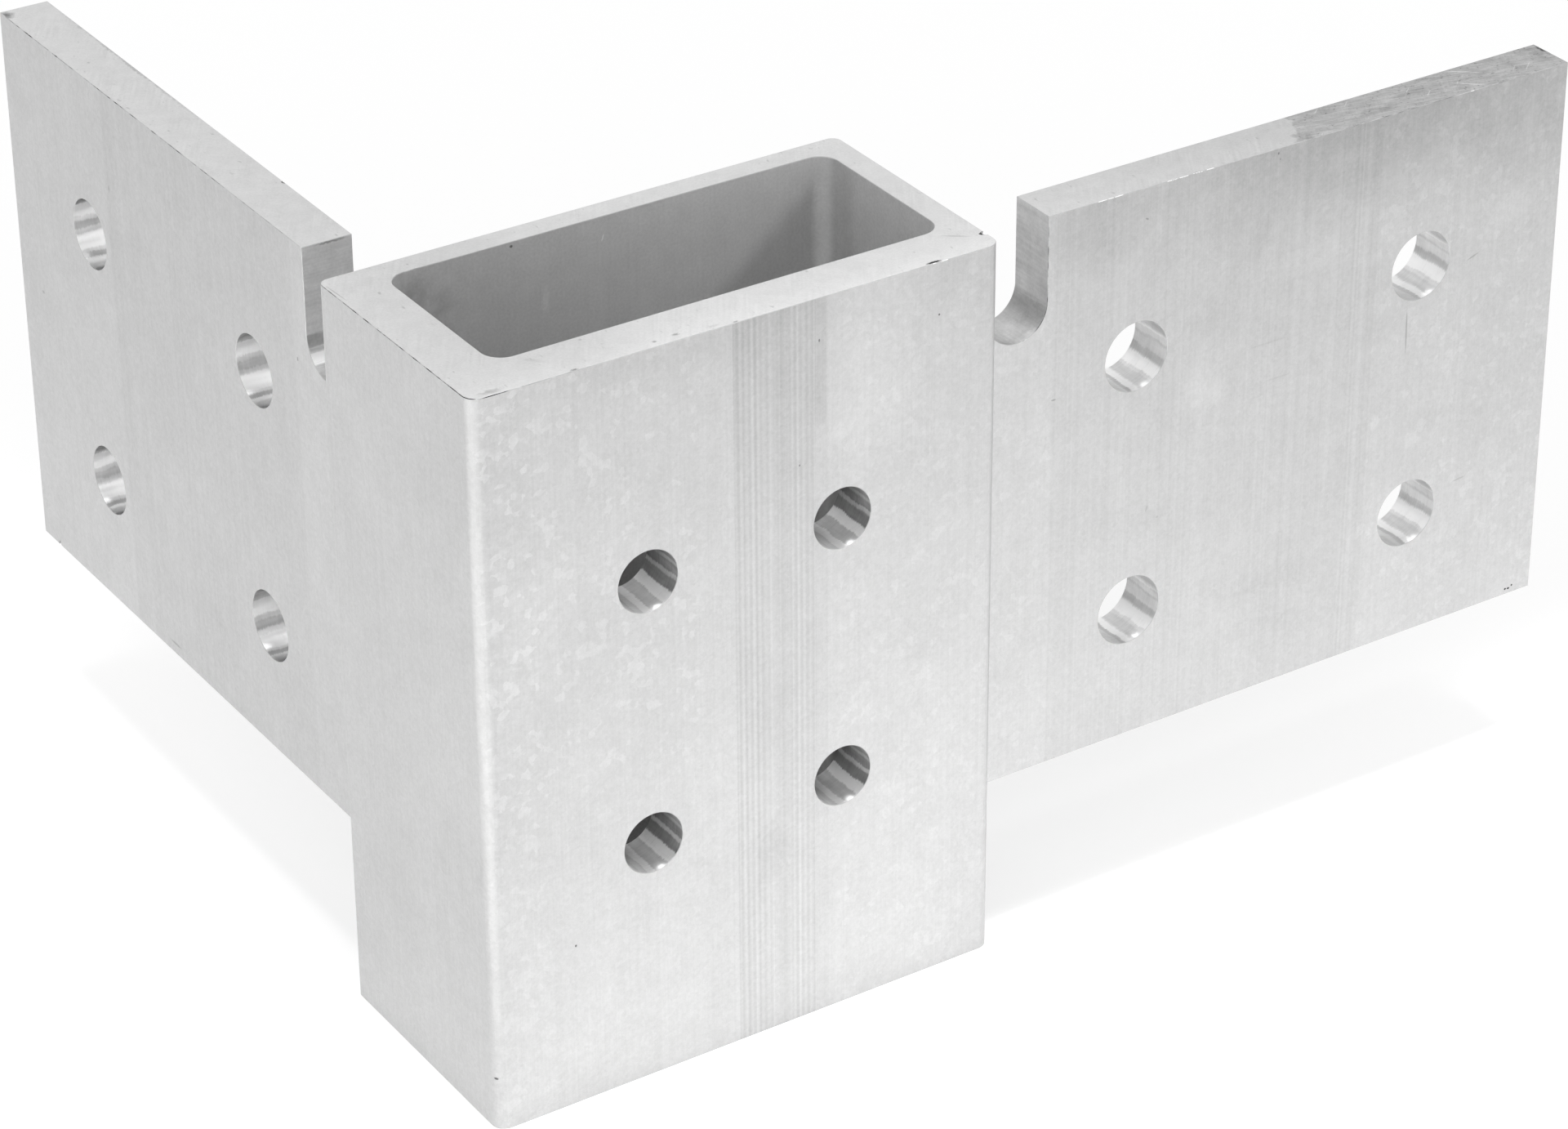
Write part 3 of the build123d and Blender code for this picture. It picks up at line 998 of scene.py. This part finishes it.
@dataclass
class Wing:
    """One thick plate that reaches out from the tube, with a milled slot and four bolt holes.

    The start is where it leaves the tube, and the face is its outer face.
    """

    name: str
    run: Run
    start: float
    face: float
    reach: float
    top: float
    thickness: float = 15.0 * MM
    height: float = 171.0 * MM
    root_radius: float = 0.6 * MM
    slot_width: float = 19.5 * MM
    slot_depth: float = 35.0 * MM
    hole_radius: float = 10.5 * MM
    holes_along: float = 100.0 * MM
    holes_up: float = 80.0 * MM
    hole_from_end: float = 50.0 * MM
    hole_drop: float = 50.5 * MM

    def at(self, along: float, across: float, height: float) -> Vector:
        """Turns a place on the wing into a place in the frame.

        Args:
            along: Distance out from the tube.
            across: Distance in from the outer face.
            height: Height in the frame.

        Returns:
            The place in the frame.
        """
        if self.run is Run.ALONG_X:
            return Vector((self.start + along, self.face + across, height))
        return Vector((self.face + across, self.start + along, height))

    @property
    def across(self) -> Run:
        """The direction in which its slot and holes go through it."""
        return Run.ALONG_Y if self.run is Run.ALONG_X else Run.ALONG_X

    def solid(self, bite: float) -> Piece:
        """Models the plain plate.

        Args:
            bite: How far it starts inside the tube's wall.

        Returns:
            The plate.
        """
        low = self.at(-bite, 0.0, self.top - self.height)
        high = self.at(self.reach, self.thickness, self.top)
        return box_between("wing_plate", low, high)

    def root_places(self) -> list[Pair]:
        """Gives where its two faces meet the tube."""
        corners = [self.at(0.0, across, 0.0) for across in (0.0, self.thickness)]
        return [(corner.x, corner.y) for corner in corners]

    def slot_cutter(self, overrun: float) -> Piece:
        """Models the slot beside the tube: half a cylinder, drawn up past the wing's top edge.

        Args:
            overrun: How far the cutter runs past the metal.

        Returns:
            The cutter.
        """
        radius = self.slot_width / 2
        centre = self.at(radius, self.thickness / 2, self.top - self.slot_depth + radius)
        cutter = rod("slot_cutter", centre, self.across.turn, radius, self.thickness + 2 * overrun, sides=96)
        with editing(cutter):
            bpy.ops.mesh.select_all(action="SELECT")
            bpy.ops.mesh.bisect(plane_co=centre, plane_no=(0, 0, 1), use_fill=True, clear_outer=True)
        with editing(cutter) as mesh:
            top = max(mesh.faces, key=lambda face: face.calc_center_median().z)
            top.select_set(True)
            bmesh.update_edit_mesh(cutter.data)
            rise = self.slot_depth - radius + overrun
            bpy.ops.mesh.extrude_region_move(TRANSFORM_OT_translate={"value": (0, 0, rise)})
            bpy.ops.mesh.select_all(action="SELECT")
            bpy.ops.mesh.normals_make_consistent(inside=False)
        return cutter

    def drill_places(self) -> list[Vector]:
        """Works out where the wing is drilled.

        Returns:
            The middle of each bolt hole.
        """
        last = self.reach - self.hole_from_end
        top_row = self.top - self.hole_drop
        return [
            self.at(along, self.thickness / 2, row)
            for along in (last - self.holes_along, last)
            for row in (top_row - self.holes_up, top_row)
        ]


@dataclass(frozen=True)
class Nick:
    """A small dent knocked into an edge. Its middle and radius are in millimetres and its turn in degrees."""

    middle: Triple
    turn: Triple
    radius: float


@dataclass
class CornerBracket:
    """The whole bracket, one piece of extruded section that is cut, slotted and drilled."""

    tube: PostTube
    wings: tuple[Wing, ...]
    finishes: dict[str, Material]
    overrun: float = 5.0 * MM
    edge_ease: float = 0.15 * MM
    nicks: tuple[Nick, ...] = (
        Nick((76.0, -36.2, 221.2), (40, 20, 0), 0.9),
        Nick((-78.0, 227.2, 50.0), (0, 45, 0), 0.7),
        Nick((-62.6, 92.9, 221.1), (0, 50, 0), 0.45),
    )

    def dress(self, piece: Piece, finish: str) -> Piece:
        """Gives a whole piece one finish.

        Args:
            piece: The piece.
            finish: The finish's name.

        Returns:
            The same piece.
        """
        piece.data.materials.clear()
        piece.data.materials.append(self.finishes[finish])
        return piece

    def build(self) -> Piece:
        """Models the bracket.

        Returns:
            The finished piece.
        """
        body = self.dress(self.tube.solid(), "skin")
        for wing in self.wings:
            cut(body, self.dress(wing.solid(self.tube.right_wall / 2), "skin"), "UNION")
        self.clean(body)
        for wing in self.wings:
            round_upright_edges(body, wing.root_places(), wing.root_radius, 4)
        self.dress_ends(body)
        cut(body, self.dress(self.tube.socket_cutter(self.overrun), "socket"))
        self.drill_holes(body, "tube", self.tube, Run.ALONG_Y, self.tube.front_wall)
        for wing in self.wings:
            cut(body, self.dress(wing.slot_cutter(self.overrun), f"{wing.name}_slot"))
            self.drill_holes(body, wing.name, wing, wing.across, wing.thickness)
        self.clean(body)
        self.ease_edges(body)
        for nick in self.nicks:
            turn = tuple(radians(c) for c in nick.turn)
            length = 4 * nick.radius * MM
            file = rod("file", Vector(nick.middle) * MM, turn, nick.radius * MM, length)
            cut(body, self.dress(file, "sawn"))
        self.shade(body)
        return body

    def drill_holes(
        self, body: Piece, name: str, plate: PostTube | Wing, through: Run, thickness: float
    ) -> None:
        """Drills the bolt holes through one plate.

        Args:
            body: The body that is drilled.
            name: The plate's name in the finishes.
            plate: The tube or the wing.
            through: The direction of the holes.
            thickness: How thick the plate is there.
        """
        for place in plate.drill_places():
            drill = rod("drill", place, through.turn, plate.hole_radius, thickness + 2 * self.overrun)
            cut(body, self.dress(drill, f"{name}_bore"))

    def clean(self, body: Piece) -> None:
        """Merges doubled points and melts flat faces together.

        Args:
            body: The bracket's body.
        """
        with editing(body):
            bpy.ops.mesh.select_all(action="SELECT")
            bpy.ops.mesh.remove_doubles(threshold=0.002 * MM)
            bpy.ops.mesh.dissolve_limited(angle_limit=radians(0.2), delimit={"MATERIAL"})

    def dress_ends(self, body: Piece) -> None:
        """Gives the sawn ends of the section their finish.

        Args:
            body: The bracket's body.
        """
        body.data.materials.append(self.finishes["sawn"])
        sawn = len(body.data.materials) - 1
        for face in body.data.polygons:
            if abs(face.normal.z) > 0.7:
                face.material_index = sawn

    def ease_edges(self, body: Piece) -> None:
        """Takes the sharpness off every outward edge, as a file or a deburring tool does.

        Args:
            body: The bracket's body.
        """
        body.data.materials.append(self.finishes["edge"])
        weights = body.data.attributes.new("bevel_weight_edge", "FLOAT", "EDGE")
        mesh = bmesh.new()
        mesh.from_mesh(body.data)
        mesh.edges.ensure_lookup_table()
        sharp = [float(e.is_convex and e.calc_face_angle(0.0) > radians(40)) for e in mesh.edges]
        mesh.free()
        weights.data.foreach_set("value", sharp)
        apply_modifier(
            body, "BEVEL", width=self.edge_ease, segments=1, limit_method="WEIGHT", use_clamp_overlap=False,
            material=len(body.data.materials) - 1,
        )

    def shade(self, body: Piece) -> None:
        """Smooths the round faces and keeps the flat ones flat.

        Args:
            body: The bracket's body.
        """
        select_only(body)
        bpy.ops.object.shade_smooth_by_angle(angle=radians(30))
        apply_modifier(body, "WEIGHTED_NORMAL", weight=50, keep_sharp=True)


@dataclass(frozen=True)
class PhotoCamera:
    """The camera that took the photograph, worked out from the bracket's edges and hole rims."""

    place: Triple = (-602.81 * MM, -991.81 * MM, 796.25 * MM)
    azimuth: float = -34.6116
    elevation: float = 28.7617
    roll: float = 0.5066
    lens: float = 113.9886
    sensor: float = 36.0
    shift_x: float = -0.08853
    shift_y: float = -0.06679

    def make(self) -> None:
        """Adds the camera to the scene and looks through it."""
        data = bpy.data.cameras.new("photo_camera")
        data.lens = self.lens
        data.sensor_fit = "HORIZONTAL"
        data.sensor_width = self.sensor
        data.shift_x = self.shift_x
        data.shift_y = self.shift_y
        data.clip_start = 10 * MM
        data.clip_end = 100.0
        camera = bpy.data.objects.new("photo_camera", data)
        bpy.context.scene.collection.objects.link(camera)
        turn = Matrix.Rotation(radians(self.azimuth), 4, "Z")
        turn @= Matrix.Rotation(radians(90 - self.elevation), 4, "X")
        turn @= Matrix.Rotation(radians(self.roll), 4, "Z")
        camera.matrix_world = Matrix.Translation(self.place) @ turn
        bpy.context.scene.camera = camera


@dataclass(frozen=True)
class Softbox:
    """One strip lamp with a grid that keeps its beam narrow, hung over the floor and aimed straight down.

    The beam is in degrees, and the rest in metres and watts.
    """

    name: str
    over: Pair
    size: Pair
    beam: float
    watts: float

    def hang(self, height: float) -> None:
        """Adds the lamp to the scene.

        Args:
            height: How high over the floor it hangs.
        """
        data = bpy.data.lights.new(self.name, "AREA")
        data.shape = "RECTANGLE"
        data.size, data.size_y = self.size
        data.spread = radians(self.beam)
        data.energy = self.watts
        lamp = bpy.data.objects.new(self.name, data)
        bpy.context.scene.collection.objects.link(lamp)
        lamp.visible_camera = False
        lamp.location = (*self.over, height)


@dataclass
class Studio:
    """A white floor under a plain white sky.

    Gridded lamps hang over the floor beside the bracket, so that its sides mirror a slightly brighter floor.
    """

    floor_size: float = 12.0
    white_hex: str = "#ffffff"
    backlight: float = 0.5
    lamp_height: float = 0.62
    lamps: tuple[Softbox, ...] = (
        Softbox("front_foot", (-0.004, -0.057), (0.165, 0.012), 5.0, 0.006),
        Softbox("front_near", (0.13, -0.085), (0.50, 0.04), 18.0, 0.135),
        Softbox("front_short", (0.03, -0.14), (0.28, 0.06), 24.0, 0.062),
        Softbox("front_middle", (0.29, -0.19), (0.50, 0.08), 24.0, 0.135),
        Softbox("front_far", (0.12, -0.29), (0.38, 0.12), 20.0, 0.115),
        Softbox("corner", (-0.33, -0.22), (0.40, 0.34), 12.0, 0.62),
        Softbox("corner_left", (-0.41, 0.02), (0.26, 0.20), 14.0, 0.30),
        Softbox("left_foot", (-0.1, 0.012), (0.02, 0.07), 5.0, 0.002),
        Softbox("left_near", (-0.135, 0.14), (0.05, 0.48), 24.0, 0.065),
        Softbox("left_far", (-0.23, 0.24), (0.08, 0.46), 24.0, 0.045),
    )

    def floor_paint(self) -> Material:
        """Builds the floor's matt white sheet, lit from behind, which keeps a faint shadow.

        Returns:
            The finished material.
        """
        material = bpy.data.materials.new("backlit_white_sheet")
        material.use_nodes = True
        tree = material.node_tree
        shader = tree.nodes["Principled BSDF"]
        shader.inputs["Base Color"].default_value = linear(self.white_hex)
        shader.inputs["Roughness"].default_value = 1.0
        shader.inputs["Specular IOR Level"].default_value = 0.0
        path = add_node(tree, "ShaderNodeLightPath").outputs
        seen = add_node(tree, MATH, [path["Is Camera Ray"], path["Is Glossy Ray"]], operation="ADD")
        seen = add_node(tree, MATH, [seen, path["Is Transmission Ray"]], operation="ADD")
        share = add_node(tree, MATH, [seen, self.backlight], operation="MULTIPLY")
        glow = add_node(tree, "ShaderNodeEmission", {"Color": linear(self.white_hex), "Strength": 1.0})
        mixed = add_node(tree, "ShaderNodeMixShader", [share, shader, glow])
        tree.links.new(mixed.outputs[0], tree.nodes["Material Output"].inputs["Surface"])
        return material

    def build(self) -> None:
        """Adds the floor, the world and the lamps."""
        bpy.ops.object.select_all(action="DESELECT")
        bpy.ops.mesh.primitive_plane_add(size=self.floor_size, location=(0, 0, 0))
        floor = bpy.context.active_object
        floor.name = "studio_floor"
        floor.data.materials.append(self.floor_paint())
        world = bpy.data.worlds.new("studio_sky")
        world.use_nodes = True
        sky = world.node_tree.nodes["Background"]
        sky.inputs["Color"].default_value = linear(self.white_hex)
        sky.inputs["Strength"].default_value = 1.0
        bpy.context.scene.world = world
        for lamp in self.lamps:
            lamp.hang(self.lamp_height)


def finishes_for(tube: PostTube, right: Wing, left: Wing) -> dict[str, Finish]:
    """Chooses the finish of each surface of the bracket.

    Args:
        tube: The tube.
        right: The right wing.
        left: The left wing.

    Returns:
        The finishes by the names that the bracket uses.
    """
    bores = {}
    for name, part, across, upright, painted_bands, drift, bright, roughness, spread in (
        ("tube", tube, tube.holes_across, Run.ALONG_Y, TUBE_PAINTED_REFLECTIONS, (0.04, 0.04), 0.65, 0.6, 1.0),
        (right.name, right, right.holes_along, right.across, RIGHT_WING_PAINTED_REFLECTIONS, (0.09, 0.0), 0.8, 0.42, 0.85),
        (left.name, left, left.holes_along, left.across, LEFT_WING_PAINTED_REFLECTIONS, (0.09, 0.12), 0.8, 0.28, 0.9),
    ):
        place = part.drill_places()[0] / MM
        bores[f"{name}_bore"] = DrilledBore(
            name=f"drilled_aluminium_{name}",
            axis=upright,
            first=(place.y if upright is Run.ALONG_X else place.x, place.z),
            spacing=(across / MM, part.holes_up / MM),
            painted_bands=painted_bands,
            drift=drift,
            bright=bright,
            roughness=roughness,
            spread=spread,
        )
    return bores | {
        "skin": MillSkin(),
        "sawn": SawnEnd(),
        "socket": SocketSkin(),
        "edge": FiledEdge(),
        "right_wing_slot": MilledSlot(
            name="end_milled_aluminium_y",
            across=right.across,
            painted_bands=RIGHT_SLOT_PAINTED_SHADE,
            soft=3.0,
            bright=0.66,
            marks=RIGHT_SLOT_MARKS,
        ),
        "left_wing_slot": MilledSlot(
            name="end_milled_aluminium_x",
            across=left.across,
            painted_bands=LEFT_SLOT_PAINTED_SHADE,
            soft=1.0,
            bright=0.6,
            marks=LEFT_SLOT_MARKS,
        ),
    }


def main() -> None:
    """Builds the bracket and its studio, and reports each piece."""
    logging.basicConfig(level=logging.INFO)
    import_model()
    low, high = (Vector(corner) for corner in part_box(NODE))
    tube = PostTube(corner=low)
    setback = 6.0 * MM
    right = Wing("right_wing", Run.ALONG_X, tube.right, low.y + setback, high.x - tube.right, high.z)
    left = Wing("left_wing", Run.ALONG_Y, tube.back, low.x + setback, high.y - tube.back, high.z)
    materials = {name: finish.material() for name, finish in finishes_for(tube, right, left).items()}
    body = CornerBracket(tube, (right, left), materials).build()
    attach(body, BODY)
    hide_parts(NODE)
    LOG.info("bracket body: %d faces", len(body.data.polygons))
    PhotoCamera().make()
    Studio().build()
    scene = bpy.context.scene
    scene.view_settings.view_transform = "Standard"


if __name__ == "__main__":
    main()
